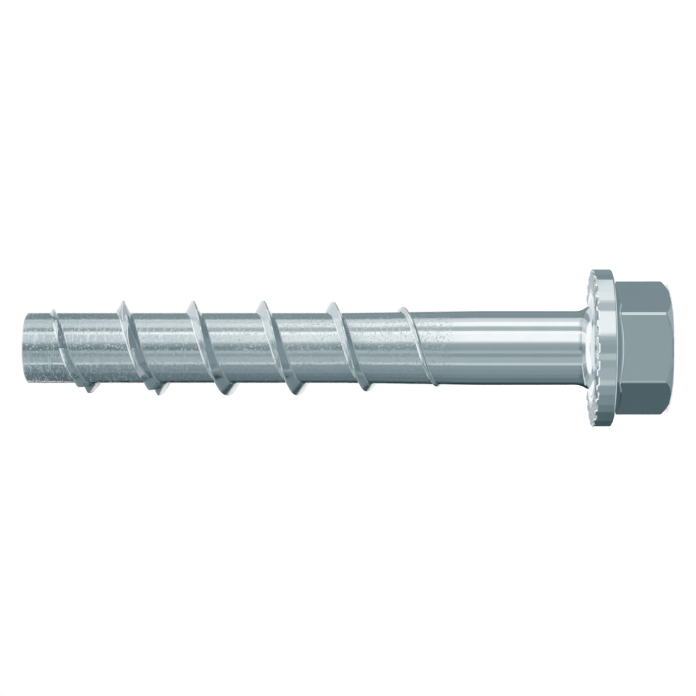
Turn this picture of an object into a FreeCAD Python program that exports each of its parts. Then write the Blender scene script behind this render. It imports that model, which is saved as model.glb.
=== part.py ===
import FreeCAD, Part

import math
import os

import Sketcher
from FreeCAD import Vector

# A self-cutting concrete screw, standing on the flat end of its hexagon head.
# The axis of the screw is Z, the end face of the head lies at height 0 and the tip points up.
# All lengths are in millimetres and all angles in degrees.

SIZES = [
    # Shank, measured from the locking face under the head
    ("anchor_length", 72.3),
    ("shank_diameter", 9.55),
    ("core_diameter", 9.05),
    ("taper_from_tip", 40.5),
    ("taper_length", 17.5),
    ("tip_edge_break", 0.25),
    # Hexagon head with its flange
    ("head_height", 9.8),
    ("across_flats", 15.0),
    ("hex_corner_radius", 0.35),
    ("end_circle_diameter", 15.35),
    ("end_chamfer_angle", 45.0),
    ("flange_diameter", 20.3),
    ("flange_rim_height", 2.5),
    ("flange_cone_angle", 20.0),
    ("rim_edge_break", 0.2),
    ("under_head_radius", 2.0),
    # Locking serrations in the underside of the flange
    ("serration_count", 30),
    ("serration_inner_diameter", 15.4),
    ("serration_depth", 0.26),
    ("serration_inner_depth", 0.1),
    ("serration_land_width", 0.7),
    ("serration_side_run", 0.2),
    # Concrete thread, a ridge that rises out of the core and sinks into it again
    ("thread_diameter", 12.2),
    ("thread_pitch", 9.0),
    ("thread_turns", 6.2),
    ("thread_base_width", 1.7),
    ("thread_crest_width", 0.16),
    ("thread_root_depth", 0.4),
    ("thread_start_from_tip", 0.3),
    ("thread_start_angle", 113.0),
    ("lead_in_turns", 1.0),
    ("run_out_turns", 2.15),
    # Saw teeth in the first turns of the thread
    ("teeth_per_turn", 8),
    ("tooth_count", 16),
    ("tooth_start_turns", 0.19),
    ("tooth_ramp_share", 0.66),
    ("tooth_depth", 0.97),
    ("tooth_side_slope", 0.2),
]

HEX_SIDES = 6
SPANS_PER_TURN = 8  # pieces that one turn of a helical face is built from
POINTS_PER_SPAN = 3  # points that guide a helical edge along one span
END_SINK = 0.05  # how far the ends of the ridge lie below the surface of the shank
OVERSHOOT = 0.5  # how far a cutting shape stands out of the face that it cuts


def make_sheet(doc):
    """The driving dimensions, one to a row."""
    sheet = doc.addObject("Spreadsheet::Sheet", "Sizes")
    for row, (alias, number) in enumerate(SIZES, start=1):
        sheet.set(f"A{row}", alias)
        sheet.set(f"B{row}", str(number))
        sheet.setAlias(f"B{row}", alias)
    doc.recompute()
    return sheet


doc = FreeCAD.newDocument("concrete_screw")
sheet = make_sheet(doc)


def size(alias):
    """One driving dimension as a number."""
    return float(getattr(sheet, alias))


def origin_feature(body, role):
    """A plane or an axis of the body's own origin."""
    return [feature for feature in body.Origin.OriginFeatures if feature.Role == role][0]


def outline_sketch(body, name, plane, corners, offset=None):
    """A closed outline of straight lines. Each corner is a pair of expressions."""
    sketch = body.newObject("Sketcher::SketchObject", name)
    sketch.AttachmentSupport = [(origin_feature(body, plane), "")]
    sketch.MapMode = "FlatFace"
    if offset:
        sketch.setExpression("AttachmentOffset.Base.z", offset)
    points = [Vector(body.evalExpression(x), body.evalExpression(y), 0) for x, y in corners]
    count = len(points)
    for i in range(count):
        sketch.addGeometry(Part.LineSegment(points[i], points[(i + 1) % count]), False)
    for i in range(count):
        sketch.addConstraint(Sketcher.Constraint("Coincident", i, 2, (i + 1) % count, 1))
        place_corner(sketch, i, "X", corners[i][0], points[i].x)
        place_corner(sketch, i, "Y", corners[i][1], points[i].y)
    return sketch


def place_corner(sketch, i, direction, expression, number):
    """Ties one coordinate of a corner to the driving dimensions."""
    index = sketch.addConstraint(
        Sketcher.Constraint(f"Distance{direction}", -1, 1, i, 1, number)
    )
    if expression != "0":
        name = f"corner_{i}_{direction.lower()}"
        sketch.renameConstraint(index, name)
        sketch.setExpression(f"Constraints.{name}", expression)


def edges_where(shape, test):
    """Names of the edges that pass a test."""
    return [f"Edge{i}" for i, edge in enumerate(shape.Edges, start=1) if test(edge)]


def is_upright(edge):
    """True for a straight edge that runs along the axis of the screw."""
    return isinstance(edge.Curve, Part.Line) and abs(edge.Curve.Direction.z) > 0.999


def is_ring(radius, height):
    """A test for a circular edge of that radius round the axis, at that height."""

    def test(edge):
        curve = edge.Curve
        if not isinstance(curve, Part.Circle):
            return False
        return abs(curve.Radius - radius) < 0.001 and abs(curve.Center.z - height) < 0.001

    return test


def round_edges(body, name, base, edges, radius):
    """Rounds the named edges of a feature by one driving dimension."""
    fillet = body.newObject("PartDesign::Fillet", name)
    fillet.Base = (base, edges)
    fillet.setExpression("Radius", radius)
    doc.recompute()
    return fillet


def break_edges(body, name, base, edges, width):
    """Breaks the named edges of a feature with a small chamfer of one driving dimension."""
    chamfer = body.newObject("PartDesign::Chamfer", name)
    chamfer.Base = (base, edges)
    chamfer.setExpression("Size", width)
    doc.recompute()
    return chamfer


def add_hexagon(body):
    """The hexagon, from the end face up into the flange, with rounded corners."""
    hexagon = body.newObject("PartDesign::AdditivePrism", "hexagon")
    hexagon.Polygon = HEX_SIDES
    hexagon.setExpression("Circumradius", "Sizes.across_flats / 2 / cos(30 deg)")
    hexagon.setExpression("Height", "Sizes.head_height - Sizes.flange_rim_height / 2")
    doc.recompute()
    corners = edges_where(hexagon.Shape, is_upright)
    return round_edges(body, "hexagon_corners", hexagon, corners, "Sizes.hex_corner_radius")


def turn_end_chamfer(body):
    """The cone that is turned on the end of the hexagon and takes its corners off."""
    inner = "Sizes.end_circle_diameter / 2"
    outer = "Sizes.across_flats"
    rise = f"(Sizes.across_flats - {inner}) * tan(Sizes.end_chamfer_angle * 1 deg)"
    sketch = outline_sketch(
        body, "end_chamfer_outline", "XZ_Plane", [(inner, "0"), (outer, "0"), (outer, rise)]
    )
    groove = body.newObject("PartDesign::Groove", "end_chamfer")
    groove.Profile = sketch
    groove.ReferenceAxis = (sketch, ["V_Axis"])
    groove.Angle = 360
    doc.recompute()
    return groove


def turn_flange_and_shank(body):
    """The flange with its conical top, the shank and the slimmer core up to the blunt tip."""
    rim = "Sizes.flange_diameter / 2"
    rim_foot = "Sizes.head_height - Sizes.flange_rim_height"
    hidden = "Sizes.across_flats / 4"
    hidden_depth = f"({rim} - {hidden}) * tan(Sizes.flange_cone_angle * 1 deg)"
    shank = "Sizes.shank_diameter / 2"
    core = "Sizes.core_diameter / 2"
    seat = "Sizes.head_height"
    tip = "Sizes.head_height + Sizes.anchor_length"
    sketch = outline_sketch(
        body,
        "half_section",
        "XZ_Plane",
        [
            ("0", f"{rim_foot} - {hidden_depth}"),
            (hidden, f"{rim_foot} - {hidden_depth}"),
            (rim, rim_foot),
            (rim, seat),
            (shank, seat),
            (shank, f"{tip} - Sizes.taper_from_tip - Sizes.taper_length"),
            (core, f"{tip} - Sizes.taper_from_tip"),
            (core, tip),
            ("0", tip),
        ],
    )
    turned = body.newObject("PartDesign::Revolution", "flange_and_shank")
    turned.Profile = sketch
    turned.ReferenceAxis = (sketch, ["V_Axis"])
    turned.Angle = 360
    doc.recompute()
    return turned


def finish_turned_edges(body, turned):
    """The fillet under the head and the broken edges of the rim and the tip."""
    shank = size("shank_diameter") / 2
    core = size("core_diameter") / 2
    rim = size("flange_diameter") / 2
    seat = size("head_height")
    rim_foot = seat - size("flange_rim_height")
    tip = seat + size("anchor_length")
    seat_edge = edges_where(turned.Shape, is_ring(shank, seat))
    fillet = round_edges(
        body, "under_head_fillet", turned, seat_edge, "Sizes.under_head_radius"
    )
    rim_edge = edges_where(fillet.Shape, is_ring(rim, rim_foot))
    rim_break = break_edges(body, "rim_edge", fillet, rim_edge, "Sizes.rim_edge_break")
    tip_edge = edges_where(rim_break.Shape, is_ring(core, tip))
    return break_edges(body, "tip_edge", rim_break, tip_edge, "Sizes.tip_edge_break")


def groove_section(body, name, radius, depth):
    """The section of one serration groove at a radius. The lands between grooves keep their width."""
    pitch = f"2 * pi * ({radius}) / Sizes.serration_count"
    half_floor = f"({pitch} - Sizes.serration_land_width) / 2 - Sizes.serration_side_run"
    half_mouth = f"{half_floor} + 2 * Sizes.serration_side_run"
    floor = f"Sizes.head_height - {depth}"
    mouth = f"Sizes.head_height + {depth}"
    return outline_sketch(
        body,
        name,
        "XZ_Plane",
        [
            (f"-({half_floor})", floor),
            (half_floor, floor),
            (half_mouth, mouth),
            (f"-({half_mouth})", mouth),
        ],
        offset=radius,
    )


def cut_serrations(body):
    """Radial grooves that widen and deepen towards the rim, all round the locking face."""
    inner = groove_section(
        body,
        "serration_inner_section",
        "Sizes.serration_inner_diameter / 2",
        "Sizes.serration_inner_depth",
    )
    outer = groove_section(
        body,
        "serration_outer_section",
        f"Sizes.flange_diameter / 2 + {OVERSHOOT}",
        "Sizes.serration_depth",
    )
    groove = body.newObject("PartDesign::SubtractiveLoft", "serration")
    groove.Profile = inner
    groove.Sections = [outer]
    groove.Ruled = True
    doc.recompute()
    ring = body.newObject("PartDesign::PolarPattern", "serrations")
    ring.Originals = [groove]
    ring.Axis = (origin_feature(body, "Z_Axis"), [""])
    ring.Angle = 360
    ring.setExpression("Occurrences", "Sizes.serration_count")
    body.Tip = ring
    doc.recompute()
    return ring


def make_blank(doc):
    """The forged and turned blank, before its thread is rolled."""
    body = doc.addObject("PartDesign::Body", "blank")
    add_hexagon(body)
    turn_end_chamfer(body)
    turned = turn_flange_and_shank(body)
    finish_turned_edges(body, turned)
    cut_serrations(body)
    return body


def crest_radius(turn):
    """Radius of the ridge's crest, that many turns from its start at the tip."""
    full = size("thread_diameter") / 2
    start = size("core_diameter") / 2 - END_SINK
    end = size("shank_diameter") / 2 - END_SINK
    risen = turn / size("lead_in_turns")
    left = (size("thread_turns") - turn) / size("run_out_turns")
    rising = start + (full - start) * risen
    falling = end + (full - end) * left
    return min(full, rising, falling)


def ridge_angle(turn):
    """Direction of the ridge, seen from the axis, in radians."""
    return math.radians(size("thread_start_angle") - 360 * turn)


def ridge_height(turn):
    """Height of the middle of the ridge."""
    tip = size("head_height") + size("anchor_length")
    return tip - size("thread_start_from_tip") - size("thread_pitch") * turn


def on_ridge(turn, below_crest, beside):
    """A point on the ridge, given from the middle of its crest."""
    radius = crest_radius(turn) - below_crest
    angle = ridge_angle(turn)
    return Vector(
        radius * math.cos(angle), radius * math.sin(angle), ridge_height(turn) + beside
    )


def ridge_section():
    """Corners of the ridge's section, each as its depth below the crest and its axial offset."""
    height = (size("thread_diameter") - size("core_diameter")) / 2
    half_crest = size("thread_crest_width") / 2
    half_base = size("thread_base_width") / 2
    root = height + size("thread_root_depth")
    half_root = half_crest + (half_base - half_crest) * root / height
    return [(0, half_crest), (root, half_root), (root, -half_root), (0, -half_crest)]


def make_ridge():
    """The thread's ridge as a closed solid, its faces ruled between helical edges."""
    turns = size("thread_turns")
    spans = max(1, round(turns * SPANS_PER_TURN))
    steps = spans * POINTS_PER_SPAN
    edges = []
    for below, beside in ridge_section():
        curve = Part.BSplineCurve()
        curve.interpolate(
            Points=[on_ridge(turns * i / steps, below, beside) for i in range(steps + 1)],
            Parameters=[float(i) for i in range(steps + 1)],
        )
        edges.append(
            [
                curve.toShape(i * POINTS_PER_SPAN, (i + 1) * POINTS_PER_SPAN)
                for i in range(spans)
            ]
        )
    faces = []
    for near, far in zip(edges, edges[1:] + edges[:1]):
        faces += [Part.makeRuledSurface(a, b) for a, b in zip(near, far)]
    for turn in (0, turns):
        corners = [on_ridge(turn, below, beside) for below, beside in ridge_section()]
        faces.append(Part.Face(Part.makePolygon(corners + corners[:1])))
    shell = Part.Shell(faces)
    shell.sewShape()
    ridge = Part.Solid(shell)
    if ridge.Volume < 0:
        ridge.reverse()
    return ridge


def notch_outline(face_turn, height):
    """The outline at one height of the gap in front of a saw tooth.

    Its floor is a straight cut that runs down along the ridge to the foot of the tooth's steep
    face. The floor also slopes across the ridge, down towards the tip.
    """
    ramp_turns = size("tooth_ramp_share") / size("teeth_per_turn")
    outside = size("thread_diameter") / 2 + 2 * OVERSHOOT

    def place(share, radius):
        angle = ridge_angle(face_turn - share * ramp_turns)
        return Vector(radius * math.cos(angle), radius * math.sin(angle), height)

    def floor(share):
        turn = face_turn - share * ramp_turns
        depth = size("tooth_depth") * (1 - share) - END_SINK
        across = height - ridge_height(turn)
        return place(share, crest_radius(turn) - depth - size("tooth_side_slope") * across)

    corners = [floor(1), floor(0), place(0, outside), place(0.5, outside), place(1, outside)]
    return Part.makePolygon(corners + corners[:1])


def make_notch(face_turn):
    """The gap in front of one saw tooth, ruled between its outlines either side of the ridge."""
    ramp_turns = size("tooth_ramp_share") / size("teeth_per_turn")
    middle = ridge_height(face_turn - ramp_turns / 2)
    reach = size("thread_base_width")
    outlines = [notch_outline(face_turn, middle + side * reach) for side in (-1, 1)]
    return Part.makeLoft(outlines, True, True)


def make_notches():
    """All the gaps between the saw teeth."""
    first = size("tooth_start_turns")
    step = 1 / size("teeth_per_turn")
    return Part.makeCompound(
        [make_notch(first + k * step) for k in range(int(size("tooth_count")))]
    )


def shaped(doc, name, shape):
    """An object of the document that holds a shape of its own."""
    feature = doc.addObject("Part::Feature", name)
    feature.Shape = shape
    feature.Placement = FreeCAD.Placement()
    return feature


def make_thread(doc):
    """The ridge with its saw teeth, kept below the broken edge of the tip."""
    toothed = doc.addObject("Part::Cut", "toothed_ridge")
    toothed.Base = shaped(doc, "ridge", make_ridge())
    toothed.Tool = shaped(doc, "notches", make_notches())
    reach = doc.addObject("Part::Cylinder", "thread_reach")
    reach.setExpression("Radius", "Sizes.thread_diameter")
    reach.setExpression("Height", "Sizes.head_height + Sizes.anchor_length - Sizes.tip_edge_break")
    thread = doc.addObject("Part::Common", "thread")
    thread.Base = toothed
    thread.Tool = reach
    return thread


def check(doc, screw):
    """Stops the build if any object failed or the screw isn't one sound solid."""
    for item in doc.Objects:
        if "Invalid" in item.State or "Error" in item.State:
            raise RuntimeError(f"{item.Name} failed: {item.State}")
    shape = screw.Shape
    if shape.isNull() or not shape.isValid() or len(shape.Solids) != 1:
        raise RuntimeError("the screw is not one sound solid")


screw = doc.addObject("Part::Fuse", "concrete_screw")
screw.Base = make_blank(doc)
screw.Tool = make_thread(doc)
screw.Label = "concrete_screw"
doc.recompute()
check(doc, screw)

os.makedirs("parts", exist_ok=True)
screw.Shape.exportStep("parts/concrete_screw.step")
print("volume mm3", round(screw.Shape.Volume, 1), "faces", len(screw.Shape.Faces))
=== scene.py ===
import math

import bpy
import numpy as np
from mathutils import Matrix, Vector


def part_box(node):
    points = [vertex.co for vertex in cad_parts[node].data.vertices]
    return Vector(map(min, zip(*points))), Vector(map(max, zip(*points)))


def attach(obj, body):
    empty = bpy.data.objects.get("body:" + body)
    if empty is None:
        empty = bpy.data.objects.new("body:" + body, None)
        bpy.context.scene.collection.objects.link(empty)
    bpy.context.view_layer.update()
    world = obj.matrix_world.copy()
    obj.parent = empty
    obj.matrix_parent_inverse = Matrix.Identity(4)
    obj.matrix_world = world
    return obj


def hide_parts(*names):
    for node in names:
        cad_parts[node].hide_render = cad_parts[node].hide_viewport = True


# A concrete screw with a hexagon flange head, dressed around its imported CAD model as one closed
# surface. What a user would change is in the dictionary beside each piece's code.
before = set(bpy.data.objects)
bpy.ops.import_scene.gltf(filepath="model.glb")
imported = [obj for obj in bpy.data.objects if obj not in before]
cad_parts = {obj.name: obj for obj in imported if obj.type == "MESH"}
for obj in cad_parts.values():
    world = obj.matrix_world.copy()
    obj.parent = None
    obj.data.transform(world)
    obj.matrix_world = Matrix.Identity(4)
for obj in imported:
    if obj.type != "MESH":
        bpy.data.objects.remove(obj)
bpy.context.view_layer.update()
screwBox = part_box("concrete_screw")
print("frame loaded")

# The camera, as far away as the photograph's perspective says. Picture right is world -Z,
# picture up is world +X and the camera looks along +Y.
shot = {
    "mmPerPixel": 0.12866,
    "pictureSize": 696,
    "distancePixels": 1903,  # from the camera to the screw's axis
    "axisFootPixel": 435.5,  # where the camera's line meets the picture, from its left
    "axisFootHeight": 29.77,  # and its height in millimetres
    "sensor": 36.0,
}


def addCamera(s):
    # lens = distance over picture size, times the sensor. The picture is shifted sideways, so the
    # camera stays square to the screw.
    data = bpy.data.cameras.new("camera")
    data.sensor_width = s["sensor"]
    data.lens = s["distancePixels"] / s["pictureSize"] * s["sensor"]
    data.shift_x = -(s["axisFootPixel"] - s["pictureSize"] / 2) / s["pictureSize"]
    data.clip_start = 0.01
    data.clip_end = 10
    camera = bpy.data.objects.new("camera", data)
    bpy.context.scene.collection.objects.link(camera)
    away = s["distancePixels"] * s["mmPerPixel"] / 1000
    turn = Matrix(((0, 1, 0), (0, 0, -1), (-1, 0, 0)))
    place = Matrix.Translation((0, -away, s["axisFootHeight"] / 1000))
    camera.matrix_world = place @ turn.to_4x4()
    bpy.context.scene.camera = camera


addCamera(shot)
print("camera placed")


# Sizes of the screw in millimetres. It stands on its head, so heights count from the end face.
screw = {
    "tipHeight": screwBox[1].z * 1000,
    "coreRadius": 4.525,
    "shankRadius": 4.775,
    "taperFoot": 24.1,
    "taperTop": 41.6,
    "tipRounding": 0.15,
    "tipMargin": 0.06,  # from the tip's rounding down to the ring where the thread's rows end
    "columns": 360,
    "zoneFoot": 23.5,  # height of the ring where the thread's rows start
    "edgeBreak": 0.04,  # how near to an edge its supporting rows stand
}

head = {
    "seatHeight": 9.8,
    "hexApothem": 7.5,
    "hexCornerRadius": 0.4,
    "hexArcColumns": 4,
    "endCircleRadius": 7.6,
    "endChamferRise": 0.78,  # per millimetre outwards
    "rimRadius": 10.15,
    "rimHeight": 2.5,
    "coneAngle": math.radians(20),
    "neckFillet": 0.12,
    "rimRounding": 0.08,
    "endRounding": 0.02,
    "edgeEase": 0.16,  # length of the small flats at the hexagon's foot and the rim's top edge
    "easeAngle": math.radians(34),
    "seatChamfer": 0.14,
    "underHeadRadius": 2.0,
    "serrations": 30,
    "serrationInner": 7.7,
    "serrationDepths": (0.1, 0.233),  # at their inner ends and at the rim
    "landWidth": 0.7,
    "sideRun": 0.2,
    "stampedShadeDepth": 0.4,  # the seat's rougher finish and its painted shade go this far down from the seat
    "stampedShadeInner": 6.8,
}

thread = {
    "radius": 6.1,
    "pitch": 9.0,
    "turns": 6.2,
    "startHeight": screwBox[1].z * 1000 - 0.3,
    "startAngle": 113.0,
    "halfCrest": 0.08,
    "halfBase": 0.85,
    "endSink": 0.05,  # the ridge's ends lie this far under the surface
    "leadIn": 1.0,
    "runOut": 2.15,
    "fadeRise": 0.1,  # below this height the rows are kept apart at the top and the foot
    "fadeTop": 0.2,
    "fadeFoot": 0.15,
    "fullFilletRise": 0.25,
    "footFillet": 0.13,
    "footEases": (0.12, 0.08),  # pairs are for the side to the tip and the side to the head
    "easeAngles": (math.radians(32), math.radians(36)),
    "gapShares": (0, 0.5, 0.97),
    # flanks and deep cuts are rougher and painted darker as shade, the flank towards the head more
    "flankDullnessAndShade": (0.25, 0.6),
    "fullDullAndShadeRise": 0.3,
    "dullAndShadeCut": (0.12, 0.15),  # depth from which a cut is rougher and painted darker as shade, and how much more to be fully so
    "ringSnap": 0.02,  # rows this near to a ring end on it
    "teethPerTurn": 8,
    "toothCount": 16,
    "toothStart": 0.19,
    "rampShare": 0.66,
    "toothDepth": 0.97,
    "toothBevel": 0.1,
    "faceLead": 2.1,  # degrees from a sector's first column to the steep face
    "faceColumns": (0, 2, 3, 4, 34),  # first, round the broken edge, at the face, at the cut's end
    "sideSlope": 0.2,
}


def bodyRadius(s, z):
    # shank below the taper, core above it, a straight line between
    return np.interp(z, [s["taperFoot"], s["taperTop"]], [s["shankRadius"], s["coreRadius"]])


def crestRadius(s, t, turn):
    # full height, less where the ridge rises out of the core and where it sinks into the shank
    start = s["coreRadius"] - t["endSink"]
    end = s["shankRadius"] - t["endSink"]
    rising = start + (t["radius"] - start) * turn / t["leadIn"]
    falling = end + (t["radius"] - end) * (t["turns"] - turn) / t["runOut"]
    return np.minimum(t["radius"], np.minimum(rising, falling))


def toothedTop(s, t, turn):
    # level of the ridge's top at its middle, and its slope across. A straight cut runs down along
    # the ridge to the foot of each tooth's steep face and leans towards the tip. Seen along the
    # axis the cut is a chord: with its ends' radii a and b and the angles p and q from those ends,
    # its radius is sin(p + q) / (sin(q) / a + sin(p) / b). The edge of the steep face is broken.
    crest = crestRadius(s, t, turn)
    step = 1 / t["teethPerTurn"]
    ramp = t["rampShare"] * step
    sinceStart = turn - t["toothStart"] + ramp
    tooth = np.floor(sinceStart / step)
    share = (sinceStart - tooth * step) / ramp
    inNotch = (tooth >= 0) & (tooth < t["toothCount"]) & (share < 1)
    start = turn - share * ramp
    startLevel = crestRadius(s, t, start) + t["endSink"]
    footLevel = crestRadius(s, t, start + ramp) + t["endSink"] - t["toothDepth"]
    bend = 2 * math.pi * ramp
    cut = math.sin(bend) / (
        np.sin((1 - share) * bend) / startLevel + np.sin(share * bend) / footLevel
    )
    past = ((share - 1) * ramp * 2 * math.pi * crest).clip(0)
    worn = np.where((tooth >= 0) & (tooth < t["toothCount"]), (t["toothBevel"] - past).clip(0), 0)
    top = np.where(inNotch, np.minimum(cut, crest), crest - worn)
    slope = t["sideSlope"] * ((crest - top) / t["endSink"]).clip(0, 1)
    return top, slope


def threadAngles(s, t):
    # directions of the columns: one a degree, pulled together at the steep faces of the teeth
    sector = 360 / t["teethPerTurn"]
    perSector = s["columns"] // t["teethPerTurn"]
    lead = t["faceLead"]
    face = (t["startAngle"] - 360 * t["toothStart"] + sector / 2) % sector - sector / 2
    bevel = math.degrees(t["toothBevel"] / t["radius"])
    ramp = t["rampShare"] * sector
    knots = [0, lead - 1.2 * bevel, lead - 0.2 * bevel, lead, lead + ramp, sector]
    column = np.arange(s["columns"])
    local = np.interp(column % perSector, [*t["faceColumns"], perSector], knots)
    hair = 0.01  # keeps the columns off the steep faces themselves
    return np.radians(column // perSector * sector + face - lead + local + hair)


def easedTurn(bend, radius, ease, easeAngle):
    # points of an edge or a corner that is cut by a small flat first, and then turns on in a
    # circle, as (along the first side, away from it)
    flatAlong = ease * math.cos(easeAngle)
    flatAway = ease * math.sin(easeAngle)
    points = [(flatAlong * share, flatAway * share) for share in (0, 0.2, 0.85, 1)]
    for share in np.linspace(0, 1, 4)[1:]:
        a = easeAngle + (bend - easeAngle) * share
        along = flatAlong + radius * (math.sin(a) - math.sin(easeAngle))
        points.append((along, flatAway + radius * (math.cos(easeAngle) - math.cos(a))))
    return points


def ridgeRows(s, t, turn, height):
    # rows of one turn from the tip side to the head side, each as (offset along the axis,
    # radius, share of rough flank and painted shade): gap, foot fillet, flank, broken edge, top,
    # and so on mirrored.
    # The rows of the gap have no radius of their own and lie on the body.
    flankSlope = (t["radius"] - s["coreRadius"]) / (t["halfBase"] - t["halfCrest"])
    flankAngle = math.atan(flankSlope)
    body = bodyRadius(s, height)
    crest = crestRadius(s, t, turn)
    top, slope = toothedTop(s, t, turn)
    rise = (crest - body).clip(0)
    fading = (1 - rise / t["fadeRise"]).clip(0, 1)
    halfCrest = t["halfCrest"] + t["fadeTop"] * fading
    base = halfCrest + rise / flankSlope
    drop = (crest - top).clip(0)
    dullAndShadeFrom, dullAndShadeRun = t["dullAndShadeCut"]
    cut = ((drop - dullAndShadeFrom) / dullAndShadeRun).clip(0, 1)

    def breakShare(length):
        # edge break over length, limited where the length is small
        return (s["edgeBreak"] / length).clip(0, 0.12)

    def side(towardsTip):
        # the flank meets the leaning top where both lines are as high, which is
        # (drop + flank slope * half crest) / (flank slope - lean) from the middle. The fillet at
        # the flank's foot shrinks with the ridge.
        lean = slope if towardsTip else -slope
        edge = np.minimum((drop + flankSlope * halfCrest) / (flankSlope - lean), base)
        edge = np.maximum(edge, halfCrest * 0.98)
        level = np.maximum(np.minimum(top - lean * edge, crest), body)
        size = np.minimum(1, (level - body) / t["fullFilletRise"])
        which = 0 if towardsTip else 1
        ease, easeAngle = t["footEases"][which], t["easeAngles"][which]
        curve = easedTurn(flankAngle, t["footFillet"], ease, easeAngle)
        reach = size * (curve[-1][0] - curve[-1][1] / flankSlope)
        spare = t["fadeFoot"] * fading
        mid = t["pitch"] / 2
        foot = base + reach + spare
        rows = [(mid + (foot - mid) * share, None, 0) for share in t["gapShares"]]
        for index, (along, away) in enumerate(curve):
            offset = foot - size * along - spare * index / (len(curve) + 1)
            rows.append((offset, body + size * away, 0))
        start, startLevel = rows[-1][:2]
        broken = breakShare(np.hypot(start - edge, level - startLevel) + 0.001)
        # the flank is rougher and painted darker as shade; its broken edge is not
        flank = t["flankDullnessAndShade"][which]
        flank = flank + (1 - flank) * cut
        shares = [(2 * broken, flank), (0.5, flank), (1 - 3 * broken, flank), (1 - broken, 0)]
        for share, dullAndShade in shares:
            offset = start + (edge - start) * share
            rows.append((offset, startLevel + (level - startLevel) * share, dullAndShade))
        return rows, edge, level

    tipSide, tipEdge, tipLevel = side(True)
    headSide, headEdge, headLevel = side(False)
    width = tipEdge + headEdge
    broken = breakShare(width)
    rows = list(tipSide)
    for share, dullAndShade in [(broken, 0), (3 * broken, cut), (1 - 3 * broken, cut), (1 - broken, 0)]:
        rows.append((tipEdge - width * share, tipLevel + (headLevel - tipLevel) * share, dullAndShade))
    rows += [(-offset, radius, dullAndShade) for offset, radius, dullAndShade in headSide[:0:-1]]
    offsets = np.array([row[0] + 0 * height for row in rows])
    radii = np.array([
        bodyRadius(s, height + row[0]) if row[1] is None else row[1] + 0 * height for row in rows
    ])
    present = (rise / t["fullDullAndShadeRise"]).clip(0, 1)
    dullnessAndShade = np.array([row[2] * present for row in rows])
    return offsets, radii, dullnessAndShade


def threadedZone(s, t, foot, ceiling):
    # the surface between two flat rings as one long helical strip: columns go round the axis,
    # rows follow the ridge, and the strip's upper edge is the lower edge of its turn before.
    # Rows that run past a ring end on it. Returns points, their dullness and painted shade, and
    # their numbers.
    angle = threadAngles(s, t)
    columns = s["columns"]
    above = math.ceil((ceiling - foot) / t["pitch"]) + 1
    turn = (t["startAngle"] - np.degrees(angle)) / 360 + np.arange(above + 1)[:, None]
    height = t["startHeight"] - t["pitch"] * turn
    offsets, radii, dullnessAndShade = ridgeRows(s, t, turn, height)
    perTurn = len(offsets)
    z = (height + offsets).transpose(1, 0, 2).reshape(-1, columns)
    r = radii.transpose(1, 0, 2).reshape(-1, columns)
    onFoot = z <= foot + t["ringSnap"]
    onCeiling = z >= ceiling - t["ringSnap"]
    number = 2 * columns + np.arange(z.size).reshape(z.shape)
    number = np.where(onFoot, np.arange(columns), number)
    number = np.where(onCeiling, columns + np.arange(columns), number)
    seam = np.concatenate([np.full(perTurn, columns), number[:-perTurn, 0]])
    number = np.column_stack([number, seam])[::-1]
    rings = [(bodyRadius(s, level) + 0 * angle, level + 0 * angle) for level in (foot, ceiling)]
    allR = np.concatenate([rings[0][0], rings[1][0], r.ravel()])
    allZ = np.concatenate([rings[0][1], rings[1][1], z.ravel()])
    allAngle = np.concatenate([angle, angle, np.tile(angle, len(z))])
    dullnessAndShade = dullnessAndShade.transpose(1, 0, 2).ravel()
    dullnessAndShade = np.concatenate([np.zeros(2 * columns), dullnessAndShade])
    return polarPoints(allAngle, allR, allZ), dullnessAndShade, number


def polarPoints(angle, r, z):
    # points at direction, distance from the axis and height
    return np.column_stack([
        (r * np.cos(angle)).ravel(), (r * np.sin(angle)).ravel(), (z + 0 * angle).ravel()
    ])


def hexOutline(s, h):
    # six rounded corners: the centre of the rounding slides from corner to corner along each
    # side while the column's direction stays square to that side
    perSide = s["columns"] // 6
    arc = h["hexArcColumns"]
    column = np.arange(s["columns"])
    side = column // perSide
    local = column % perSide
    along = np.interp(local, [arc, perSide - arc], [0, 1])
    turn = np.interp(local, [0, arc, perSide - arc, perSide], [0, 30, 30, 60])
    reach = (h["hexApothem"] - h["hexCornerRadius"]) / math.cos(math.radians(30))
    start = np.radians(60 * side)
    end = np.radians(60 * side + 60)
    facing = np.radians(60 * side + turn)
    x = reach * ((1 - along) * np.cos(start) + along * np.cos(end))
    y = reach * ((1 - along) * np.sin(start) + along * np.sin(end))
    x += h["hexCornerRadius"] * np.cos(facing)
    y += h["hexCornerRadius"] * np.sin(facing)
    return np.unwrap(np.arctan2(y, x)), np.hypot(x, y)


def grooveColumns(s, h, r):
    # direction of each column at radius r, and how much of the groove's depth it has there.
    # Lands keep their width, so grooves widen outwards.
    per = s["columns"] // h["serrations"]
    column = np.arange(s["columns"])
    centre = np.floor(column / per) * per + per / 2
    local = column - centre
    pitch = 2 * math.pi * r / h["serrations"]
    floorHalf = (pitch - h["landWidth"]) / 2 - h["sideRun"]
    wallTop = floorHalf + h["sideRun"]
    soft = s["edgeBreak"]
    inFloor = [0, 0.5 * floorHalf, 0.9 * floorHalf, floorHalf]
    knots = [*inFloor, wallTop - soft, wallTop + soft, pitch / 2]
    shares = [1, 1, 1, 1, soft / h["sideRun"], 0, 0]
    x = np.interp(abs(local), np.arange(7), knots) * np.sign(local)
    share = np.interp(abs(local), np.arange(7), shares)
    return np.radians(centre * 360 / s["columns"]) + x / r, share


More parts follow.
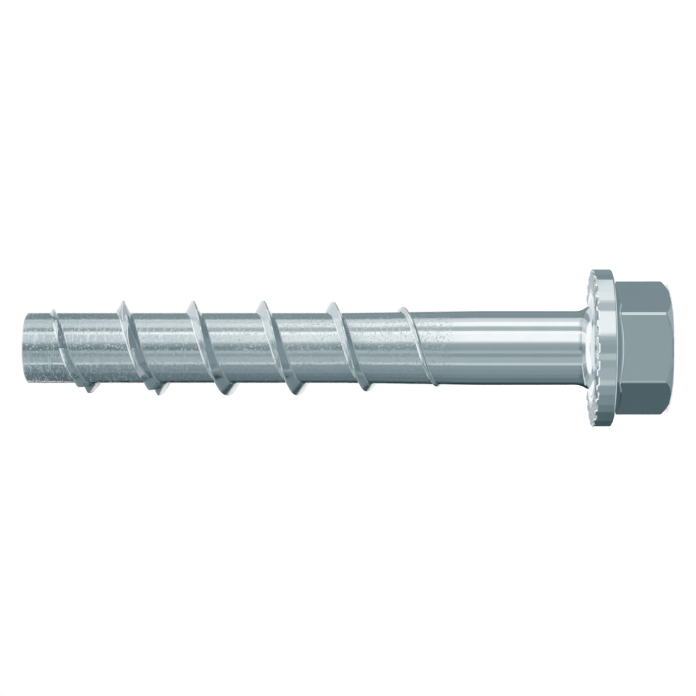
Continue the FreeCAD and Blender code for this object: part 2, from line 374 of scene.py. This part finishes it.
def headRows(s, h, foot):
    # rows of the head and the plain shank as (direction, radius, height), from the middle of
    # the end face outwards, up the hexagon, over the flange and its seat, and up the shank.
    # Shares are places between two edges. Rows near an edge keep the faces beside it flat.
    rows = []
    soft = s["edgeBreak"]
    hexAngle, hexRadius = hexOutline(s, h)
    faceRadius = np.minimum(hexRadius, h["endCircleRadius"])
    overhang = hexRadius - faceRadius
    for radius in (0.5 * faceRadius, faceRadius - 3 * soft, faceRadius - soft):
        rows.append((hexAngle, radius, 0))
    cornerTop = h["endChamferRise"] * overhang + soft
    for share in (0.05, 0.12, 0.88, 0.95):
        rows.append((hexAngle, faceRadius + overhang * share, cornerTop * share))
    rows.append((hexAngle, hexRadius - h["endRounding"], cornerTop + soft / 2))
    sideFoot = cornerTop + h["edgeEase"]
    rimFoot = h["seatHeight"] - h["rimHeight"]
    cone = h["coneAngle"]
    neck = rimFoot - (h["rimRadius"] - hexRadius) * math.tan(cone)
    bend = math.pi / 2 - cone
    hexFoot = easedTurn(bend, h["neckFillet"], h["edgeEase"], h["easeAngle"])
    start = neck + hexFoot[-1][1] * math.tan(cone) - hexFoot[-1][0]
    for share in (0, 0.015, 0.35, 0.65, 0.985):
        rows.append((hexAngle, hexRadius, sideFoot + (start - sideFoot) * share))
    for along, away in hexFoot:
        rows.append((hexAngle, hexRadius + away, start + along))
    coneFoot = rows[-1]
    rim = h["rimRadius"]
    rimEdge = easedTurn(bend, h["rimRounding"], h["edgeEase"], h["easeAngle"])
    rimStart = rimFoot + rimEdge[-1][0] - rimEdge[-1][1] * math.tan(cone)
    rimAngle, depthShare = grooveColumns(s, h, rim)
    edgeRows = [(rimAngle, rim - away, rimStart - along) for along, away in rimEdge[::-1]]
    for share in (0.03, 0.35, 0.65, 0.97):
        rows.append(tuple(a + (b - a) * share for a, b in zip(coneFoot, edgeRows[0])))
    rows += edgeRows
    seat = h["seatHeight"]
    chamfer = h["seatChamfer"]
    innerDepth, rimDepth = h["serrationDepths"]
    rimTop = seat - rimDepth * depthShare - chamfer
    for share in (0.03, 0.5, 0.96, 1):
        rows.append((rimAngle, rim, rimStart + (rimTop - rimStart) * share))
    for share in (0.15, 0.85):
        rows.append((rimAngle, rim - chamfer * share, rimTop + chamfer * share))
    inner = h["serrationInner"]
    for r in (rim - 1.1 * chamfer, rim - 1.6 * chamfer, *np.linspace(rim, inner, 5)[1:]):
        share = (r - inner) / (rim - inner)
        angle, depthShare = grooveColumns(s, h, r)
        depth = innerDepth + (rimDepth - innerDepth) * share
        rows.append((angle, r, seat - depth * depthShare))
    even = np.radians(np.arange(s["columns"]) * 360 / s["columns"])
    seatAngle = rows[-1][0]
    shank = s["shankRadius"]
    under = h["underHeadRadius"]
    for share in (0.05, 0.5):
        r = inner + (shank + under - inner) * share
        rows.append((seatAngle + (even - seatAngle) * share, r, seat))
    for share in np.linspace(0, 1, 14):
        a = share * math.pi / 2
        rows.append((even, shank + under * (1 - math.sin(a)), seat + under * (1 - math.cos(a))))
    last = threadAngles(s, thread)
    for share in (0.25, 0.5, 0.75, 1):
        z = seat + under + (foot - seat - under) * share
        rows.append((even + (last - even) * share, bodyRadius(s, z), z))
    return rows


def tipRows(s, ceiling):
    # rows of the blunt tip, from the ring under its rounded edge to near the middle of its end
    angle = threadAngles(s, thread)
    radius = s["coreRadius"]
    rounding = s["tipRounding"]
    rows = [(angle, radius, ceiling)]
    for share in np.linspace(0, 1, 6):
        a = share * math.pi / 2
        z = s["tipHeight"] - rounding * (1 - math.sin(a))
        rows.append((angle, radius - rounding * (1 - math.cos(a)), z))
    for share in (0.9, 0.6, 0.3):
        rows.append((angle, (radius - rounding) * share, s["tipHeight"]))
    return rows


def stackRows(rows):
    # all points of the given rows, one row after the other
    return np.concatenate([
        polarPoints(angle, radius + 0 * angle, height + 0 * angle) for angle, radius, height in rows
    ])


def gridTriangles(number):
    # two triangles for each cell of a grid of point numbers, without those that have no area
    a, b = number[:-1, :-1].ravel(), number[:-1, 1:].ravel()
    d, c = number[1:, :-1].ravel(), number[1:, 1:].ravel()
    triangles = np.concatenate([np.column_stack([a, b, c]), np.column_stack([a, c, d])])
    first, second, third = triangles.T
    return triangles[(first != second) & (second != third) & (first != third)]


def closedRing(number):
    # point numbers with the first column once more at the end
    return np.column_stack([number, number[:, :1]])


def screwSurface(s, h, t):
    # head, threaded zone and tip joined at two rings and closed by a point at each end: points
    # in metres, triangles, and each point's share of the rougher finish and of painted shade
    columns = s["columns"]
    foot = s["zoneFoot"]
    ceiling = s["tipHeight"] - s["tipRounding"] - s["tipMargin"]
    zonePoints, zoneDullnessAndShade, zoneNumber = threadedZone(s, t, foot, ceiling)
    footRing = np.arange(columns)
    ceilingRing = columns + np.arange(columns)
    headPoints = stackRows(headRows(s, h, foot)[:-1])
    tipPoints = stackRows(tipRows(s, ceiling)[1:])
    poles = np.array([[0, 0, 0], [0, 0, s["tipHeight"]]])
    points = np.concatenate([zonePoints, headPoints, tipPoints, poles])
    headStart = len(zonePoints)
    tipStart = headStart + len(headPoints)
    endPole = tipStart + len(tipPoints)
    headNumber = headStart + np.arange(len(headPoints)).reshape(-1, columns)
    headNumber = np.vstack([np.full(columns, endPole), headNumber, footRing])
    tipNumber = tipStart + np.arange(len(tipPoints)).reshape(-1, columns)
    tipNumber = np.vstack([ceilingRing, tipNumber, np.full(columns, endPole + 1)])
    triangles = np.concatenate([
        gridTriangles(zoneNumber),
        gridTriangles(closedRing(headNumber)),
        gridTriangles(closedRing(tipNumber)),
    ])
    # The seat ring under the flange is rougher and painted darker: painted shade under the head.
    out = np.hypot(headPoints[:, 0], headPoints[:, 1])
    stampedAndShaded = (headPoints[:, 2] > h["seatHeight"] - h["stampedShadeDepth"]) & (out > h["stampedShadeInner"])
    stampedAndShaded = stampedAndShaded & (out < h["rimRadius"] - 1.3 * h["seatChamfer"])
    dullnessAndShade = np.concatenate([zoneDullnessAndShade, stampedAndShaded, np.zeros(len(tipPoints) + 2)])
    used, triangles = np.unique(triangles, return_inverse=True)
    return points[used] / 1000, triangles.reshape(-1, 3), dullnessAndShade[used]


def addMesh(name, points, faces):
    # a smooth object at the origin
    mesh = bpy.data.meshes.new(name)
    mesh.from_pydata(points.tolist(), [], faces.tolist())
    mesh.shade_smooth()
    mesh.update()
    piece = bpy.data.objects.new(name, mesh)
    bpy.context.scene.collection.objects.link(piece)
    return piece


points, triangles, dullnessAndShade = screwSurface(screw, head, thread)
screwPiece = addMesh("screwSurface", points, triangles)
dullAndShadeLayer = screwPiece.data.attributes.new("dullnessAndShade", "FLOAT", "POINT")
dullAndShadeLayer.data.foreach_set("value", dullnessAndShade)
screwPiece.data.set_sharp_from_angle(angle=math.radians(40))
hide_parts("concrete_screw")
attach(screwPiece, "root")
print("screw made,", len(triangles), "triangles")


def linear(hexColour):
    # sRGB hex to linear, with alpha 1
    channels = [int(hexColour[i:i + 2], 16) / 255 for i in (0, 2, 4)]
    return [c / 12.92 if c <= 0.04045 else ((c + 0.055) / 1.055) ** 2.4 for c in channels] + [1]


def addNode(tree, kind, settings=None, **links):
    # a node with its settings, and its sockets set to values or linked to other nodes' sockets.
    # A socket goes by its name, or by s and its number.
    node = tree.nodes.new(kind)
    for name, value in (settings or {}).items():
        setattr(node, name, value)
    for name, value in links.items():
        socket = node.inputs[int(name[1:]) if name[1:].isdigit() else name.replace("_", " ")]
        if isinstance(value, bpy.types.NodeSocket):
            tree.links.new(value, socket)
        else:
            socket.default_value = value
    return node


def newMaterial(name):
    # a material with an empty node tree
    material = bpy.data.materials.new(name)
    material.use_nodes = True
    material.node_tree.nodes.clear()
    return material, material.node_tree


# Bright zinc plating on cold-forged steel: a clean bluish metal with a soft mirror gloss. The
# length that went through the thread rolls, and the seat that the die stamped, are rougher. The
# seat, the flanks and the deep cuts are also painted darker, as painted shade.
# Stretches and scales are per millimetre and bumps in millimetres. Strokes run round the screw,
# streaks along it, and dents are specks of about 0.2 mm, a little coarser than real to show.
zinc = {
    "colour": "eaf0f1",
    "colourLow": "e2eaed",
    "plainRoughness": 0.06,
    "workedRoughness": 0.08,
    "flankRoughness": 0.2,
    # darker colour multiplied in where the surface is dull: painted shade on flanks, cuts and seat
    "dullShadeColour": "cfd3d6",
    "rolledFrom": 27.3,  # height where the marks of the thread rolls start
    "ridgeFoot": 4.9,  # they are on the body inside this radius only
    "strokes": {"stretch": (0.6, 0.6, 5), "scale": 1.0, "above": 0.58, "bump": 0.06},
    "streaks": {"stretch": (3, 3, 0.5), "scale": 1.0, "above": 0.4, "bump": 0.006},
    "dents": {"stretch": (1, 1, 1), "scale": 4.5, "above": 0.6, "bump": 0.16},
    "plainBump": 0.0015,
}


def makeZinc(z):
    # relief = strokes + streaks + dents on the rolled body, and a faint cloud elsewhere. Marks are
    # what a noise has above a level. By the surface's own share of dullness and shade, roughness
    # rises to that of a rough flank and the colour darkens as painted shade.
    material, tree = newMaterial("zincPlatedSteel")
    place = addNode(tree, "ShaderNodeTexCoord").outputs["Object"]
    scaled = addNode(
        tree, "ShaderNodeMapping", Vector=place, Scale=(1000, 1000, 1000)
    ).outputs["Vector"]
    x, y, height = addNode(tree, "ShaderNodeSeparateXYZ", Vector=scaled).outputs
    square = addNode(tree, "ShaderNodeMath", {"operation": "MULTIPLY"}, s0=y, s1=y).outputs[0]
    square = addNode(
        tree, "ShaderNodeMath", {"operation": "MULTIPLY_ADD"}, s0=x, s1=x, s2=square
    ).outputs[0]
    onBody = addNode(
        tree, "ShaderNodeMath", {"operation": "LESS_THAN"}, s0=square, s1=z["ridgeFoot"] ** 2
    ).outputs[0]
    rolled = addNode(
        tree, "ShaderNodeMath", {"operation": "SUBTRACT", "use_clamp": True},
        s0=height, s1=z["rolledFrom"],
    ).outputs[0]
    onRolledBody = addNode(
        tree, "ShaderNodeMath", {"operation": "MULTIPLY"}, s0=rolled, s1=onBody
    ).outputs[0]
    relief = 0.0
    for kind in (z["strokes"], z["streaks"], z["dents"]):
        stretched = addNode(
            tree, "ShaderNodeMapping", Vector=scaled, Scale=kind["stretch"]
        ).outputs["Vector"]
        noise = addNode(
            tree, "ShaderNodeTexNoise", Vector=stretched, Scale=kind["scale"], Detail=2.0
        ).outputs["Fac"]
        marks = addNode(
            tree, "ShaderNodeMath", {"operation": "SUBTRACT", "use_clamp": True},
            s0=noise, s1=kind["above"],
        ).outputs[0]
        relief = addNode(
            tree, "ShaderNodeMath", {"operation": "MULTIPLY_ADD"},
            s0=marks, s1=kind["bump"], s2=relief,
        ).outputs[0]
    cloud = addNode(tree, "ShaderNodeTexNoise", Vector=scaled, Scale=0.6, Detail=3.0).outputs["Fac"]
    plain = addNode(
        tree, "ShaderNodeMath", {"operation": "MULTIPLY"}, s0=cloud, s1=z["plainBump"]
    ).outputs[0]
    relief = addNode(
        tree, "ShaderNodeMix", {"data_type": "FLOAT"}, s0=onRolledBody, s2=plain, s3=relief
    ).outputs[0]
    bump = addNode(tree, "ShaderNodeBump", Height=relief, Distance=0.001, Strength=1.0).outputs[0]
    dullAndShade = addNode(tree, "ShaderNodeAttribute", {"attribute_name": "dullnessAndShade"}).outputs["Fac"]
    clean = addNode(
        tree, "ShaderNodeMix", {"data_type": "RGBA"},
        s0=cloud, s6=linear(z["colourLow"]), s7=linear(z["colour"]),
    ).outputs[2]
    # painted shade: the clean colour darkened by the dull shade colour
    dulledAndShaded = addNode(
        tree, "ShaderNodeMix", {"data_type": "RGBA", "blend_type": "MULTIPLY"},
        s0=1.0, s6=clean, s7=linear(z["dullShadeColour"]),
    ).outputs[2]
    colour = addNode(
        tree, "ShaderNodeMix", {"data_type": "RGBA"}, s0=dullAndShade, s6=clean, s7=dulledAndShaded
    ).outputs[2]
    rough = addNode(
        tree, "ShaderNodeMix", {"data_type": "FLOAT"},
        s0=rolled, s2=z["plainRoughness"], s3=z["workedRoughness"],
    ).outputs[0]
    rough = addNode(
        tree, "ShaderNodeMix", {"data_type": "FLOAT"}, s0=dullAndShade, s2=rough, s3=z["flankRoughness"]
    ).outputs[0]
    shader = addNode(
        tree, "ShaderNodeBsdfPrincipled",
        Base_Color=colour, Metallic=1.0, Roughness=rough, Normal=bump,
    )
    addNode(tree, "ShaderNodeOutputMaterial", Surface=shader.outputs[0])
    return material


zincPlatedSteel = makeZinc(zinc)
screwPiece.data.materials.append(zincPlatedSteel)
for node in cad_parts.values():
    node.data.materials.clear()
    node.data.materials.append(zincPlatedSteel)
print("zinc plating made")


# A light tent round the screw, seen only in its gloss: upright strip lights and grey panels, with
# a window at the back through which the white background shows. Angles are degrees round the
# axis, 0 towards the camera and positive towards +X, and elevations count from the level. A
# brightness is 0 to 255 as it looks in the zinc. A band starts where the one before it ends and
# is (end angle, brightness for the head, the shank, the threaded length and high up). Panels are
# (brightness, width, points of their middle line).
tent = {
    "radius": 0.5,
    "windowAngles": (168, 190),
    "windowElevations": (-15, 9),
    "elevations": (-40, -35, -14, -9, -4, -2, 3, 14, 17, 20, 27, 50, 55),  # of the tent's rows
    "endShare": 0.91,  # of the threaded length's brightness, at the screw's tip
    "shade": 142,  # the most under the head's row
    "ground": (142, 168),  # at the lowest row, and the angles between which it changes
    "groundTurn": (-60, -30),
    "behind": (30, -0.85),  # above this elevation and under this cosine it is as bright as high up
    "bands": [
        (-143, 80, 50, 50, 190), (-132, 80, 90, 80, 185), (-106, 96, 118, 112, 165),
        (-90, 120, 133, 115, 145), (-71, 135, 143, 137, 150), (-55, 150, 150, 145, 170),
        (-47, 190, 203, 200, 200), (-28, 172, 172, 174, 190), (-17, 165, 150, 156, 170),
        (-8, 190, 175, 180, 150), (4, 156, 158, 130, 150), (12, 162, 162, 152, 160),
        (17, 175, 180, 172, 190), (21, 210, 222, 200, 225), (44, 238, 246, 208, 238),
        (54, 238, 250, 246, 245), (68, 185, 180, 166, 200), (72, 200, 205, 198, 205),
        (88, 228, 250, 215, 215), (100, 225, 217, 202, 203), (107, 222, 202, 212, 200),
        (117, 220, 142, 140, 158), (133, 138, 142, 140, 158), (137, 145, 156, 146, 160),
        (190, 145, 136, 140, 215),
    ],
    "softness": 1.5,  # half of the width over which two bands blend
    "topBrightness": 250,
    "panels": [
        (240, 3, [(-53, 20), (-55, 24), (-70, 28), (-86, 29), (-121, 28), (-144, 20)]),
        (220, 5, [(-138, -34), (-121, -44), (-95, -57), (-59, -69), (0, -75),
                  (59, -69), (95, -57), (121, -44), (138, -34)]),
        (225, 18, [(171, 9), (170, 23)]),
        (245, 12, [(-169, 8), (-164, 27)]),
        (245, 12, [(189, 15), (187, 24)]),
        (245, 12, [(-163, -18), (-168, -8)]),
    ],
    "gain": 1.03,  # makes up for what the zinc takes
    "tint": (1.2, 1.0, 0.95),  # powers of a card's grey for red, green and blue
}


def bandLevels(t, angles, column):
    # each band's brightness, sliding into the next one's over a few degrees
    ends = np.array([band[0] for band in t["bands"][:-1]])
    knots = np.ravel([ends - t["softness"], ends + t["softness"]], "F")
    knots = np.concatenate([angles[:1], knots, angles[-1:]])
    levels = np.repeat([band[column] for band in t["bands"]], 2)
    return np.interp(angles, knots, levels)


def nearLine(points, across, up):
    # degrees between each direction and a line through the given points
    nearest = np.full(across.shape, 360.0)
    squeeze = np.cos(np.radians(up))
    for (a, b), (c, d) in zip(points, points[1:]):
        runX, runY = (c - a) * squeeze, d - b
        x, y = (across - a) * squeeze, up - b
        share = ((x * runX + y * runY) / (runX ** 2 + runY ** 2)).clip(0, 1)
        nearest = np.minimum(nearest, np.hypot(x - share * runX, y - share * runY))
    return nearest


def tentSurface(t, base):
    # a ball of that radius, without the cells of its window. Brightness runs in straight lines
    # between its rows: ground, shade, head, shank, threaded length, its tip, high and top. A
    # card's colour is its brightness over that of the zinc, and darker cards are bluer.
    angles = np.arange(-170, 191)
    rises = np.clip(np.arange(-90, 91), -89.9, 89.9)
    across = angles + 0 * rises[:, None]
    up = rises[:, None] + 0 * across
    low, middle, tipward, high = (bandLevels(t, angles, column) for column in (1, 2, 3, 4))
    ground = np.interp(angles, t["groundTurn"], t["ground"])
    roof = t["topBrightness"] + 0 * low
    shade = np.minimum(low, t["shade"])
    end = tipward * t["endShare"]
    steps = np.array([
        ground, shade, shade, low, low, middle, middle, tipward, tipward, end, high, high, roof
    ])
    level = np.array([np.interp(rises, t["elevations"], column) for column in steps.T]).T
    lowest, mostCosine = t["behind"]
    behind = (up > lowest) & (np.cos(np.radians(across)) < mostCosine)
    level = np.where(behind, high, level)
    for brightness, width, points in t["panels"]:
        share = (width / 2 + 0.5 - nearLine(points, across, up)).clip(0, 1)  # soft over a cell
        level = level + (brightness - level) * share
    tone = ((level / 255 + 0.055) / 1.055) ** 2.4 / base[1] * t["gain"]
    colours = tone[..., None] ** np.array(t["tint"])
    across, up = np.radians(across), np.radians(up)
    points = t["radius"] * np.stack([
        np.cos(up) * np.sin(across), -np.cos(up) * np.cos(across), np.sin(up)
    ], axis=-1)
    number = np.arange(level.size).reshape(level.shape)
    cells = np.stack([number[:-1, :-1], number[:-1, 1:], number[1:, 1:], number[1:, :-1]], axis=-1)
    (left, right), (bottom, top) = t["windowAngles"], t["windowElevations"]
    window = (angles[:-1] >= left) & (angles[1:] <= right)
    window = window & (rises[:-1, None] >= bottom) & (rises[1:, None] <= top)
    return points.reshape(-1, 3), cells[~window], colours.reshape(-1, 3)


def makeTentGlow():
    # cloth that shines in the colour of its own points
    material, tree = newMaterial("reflectorCloth")
    tone = addNode(tree, "ShaderNodeVertexColor", {"layer_name": "tone"}).outputs["Color"]
    glow = addNode(tree, "ShaderNodeEmission", Color=tone, Strength=1.0)
    addNode(tree, "ShaderNodeOutputMaterial", Surface=glow.outputs[0])
    return material


def addTent(t, base):
    # the tent's surface as a mesh that only glossy rays see
    points, cells, colours = tentSurface(t, base)
    piece = addMesh("lightTent", points, cells)
    layer = piece.data.color_attributes.new("tone", "FLOAT_COLOR", "POINT")
    layer.data.foreach_set("color", np.column_stack([colours, 0 * colours[:, :1] + 1]).ravel())
    piece.data.materials.append(makeTentGlow())
    for way in ("camera", "diffuse", "transmission", "volume_scatter", "shadow"):
        setattr(piece, "visible_" + way, False)


addTent(tent, linear(zinc["colour"]))
print("light tent placed")


# A white background and a pale floor with a soft shadow under the screw. Both look white where
# they are seen, and give the screw less light than that.
studio = {
    "skyLevel": 0.62,
    "floorHalf": 2.0,  # in metres, as the lamp's height and size
    "floorColour": "f4f5f5",
    "floorGlow": 0.42,
    "lampHeight": 0.9,
    "lampSize": 0.8,
    "lampWatts": 9.0,
}


def seenDirectly(tree):
    # 1 for camera, glossy and transmission rays, else 0
    rays = addNode(tree, "ShaderNodeLightPath").outputs
    either = addNode(
        tree, "ShaderNodeMath", {"operation": "MAXIMUM"},
        s0=rays["Is Camera Ray"], s1=rays["Is Glossy Ray"],
    ).outputs[0]
    return addNode(
        tree, "ShaderNodeMath", {"operation": "MAXIMUM"}, s0=either, s1=rays["Is Transmission Ray"]
    ).outputs[0]


def addStudio(s):
    # sky, floor = its matt colour plus a glow seen directly, and one square lamp overhead
    world = bpy.data.worlds.new("studioSky")
    bpy.context.scene.world = world
    world.use_nodes = True
    tree = world.node_tree
    tree.nodes.clear()
    level = addNode(
        tree, "ShaderNodeMapRange", Value=seenDirectly(tree), To_Min=s["skyLevel"], To_Max=1.0
    ).outputs[0]
    sky = addNode(tree, "ShaderNodeBackground", Color=(1, 1, 1, 1), Strength=level)
    addNode(tree, "ShaderNodeOutputWorld", Surface=sky.outputs[0])

    material, tree = newMaterial("paleFloor")
    matt = addNode(tree, "ShaderNodeBsdfDiffuse", Color=linear(s["floorColour"]))
    glow = addNode(
        tree, "ShaderNodeMath", {"operation": "MULTIPLY"}, s0=seenDirectly(tree), s1=s["floorGlow"]
    ).outputs[0]
    white = addNode(tree, "ShaderNodeEmission", Color=(1, 1, 1, 1), Strength=glow)
    both = addNode(tree, "ShaderNodeAddShader", s0=matt.outputs[0], s1=white.outputs[0])
    addNode(tree, "ShaderNodeOutputMaterial", Surface=both.outputs[0])
    half = s["floorHalf"]
    corners = np.array([[-half, -half, 0], [half, -half, 0], [half, half, 0], [-half, half, 0]])
    floor = addMesh("floor", corners, np.array([[0, 1, 2], [0, 2, 3]]))
    floor.data.materials.append(material)
    floor.visible_glossy = False

    lamp = bpy.data.lights.new("softLamp", "AREA")
    lamp.size = s["lampSize"]
    lamp.energy = s["lampWatts"]
    lampObject = bpy.data.objects.new("softLamp", lamp)
    lampObject.location = (0, 0, s["lampHeight"])
    lampObject.visible_glossy = False
    bpy.context.scene.collection.objects.link(lampObject)


addStudio(studio)
bpy.context.scene.view_settings.view_transform = "Standard"
print("studio lit")
